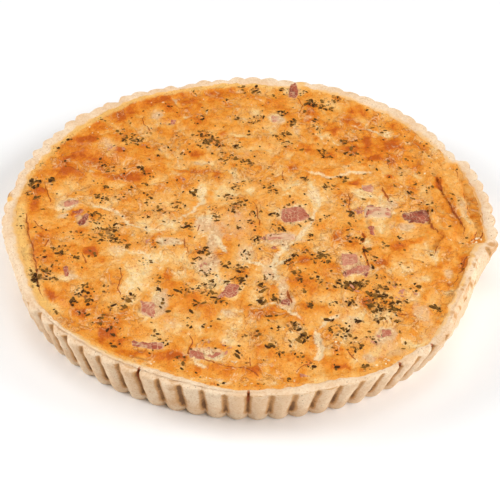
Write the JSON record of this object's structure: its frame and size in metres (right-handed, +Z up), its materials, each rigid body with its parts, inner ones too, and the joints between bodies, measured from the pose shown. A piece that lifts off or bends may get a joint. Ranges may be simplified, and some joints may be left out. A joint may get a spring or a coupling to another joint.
{
  "type": "ham quiche",
  "caption": "Whole round baked quiche in a fluted pastry case, with browned egg filling, diced ham and dried herbs on top.",
  "frame": {"origin": "centre of the flat underside of the pastry case", "axes": "+Z up out of the filling, +Y to the back, +X to the right with the folded piece of rim at the front right; metres"},
  "size_m": [0.2751, 0.2815, 0.029],
  "materials": {
    "pastry": "baked shortcrust pastry, dry and matt, pale cream at the rim and tan on the wall",
    "custard": "baked egg and cheese filling, golden to deep orange, satin with a little fat",
    "ham": "cooked cured ham, dusty pink to dark red, slightly moist"
  },
  "bodies": {
    "root": {"pastry_case": "pastry", "custard_filling": "custard", "ham_01": "ham", "ham_02": "ham", "ham_03": "ham", "ham_04": "ham", "ham_05": "ham", "ham_06": "ham", "ham_07": "ham", "ham_08": "ham", "ham_09": "ham", "ham_10": "ham", "ham_11": "ham", "ham_12": "ham", "ham_13": "ham", "ham_14": "ham", "ham_15": "ham", "ham_16": "ham", "ham_17": "ham", "ham_18": "ham", "ham_19": "ham", "ham_20": "ham", "ham_21": "ham"}
  },
  "joints": []
}
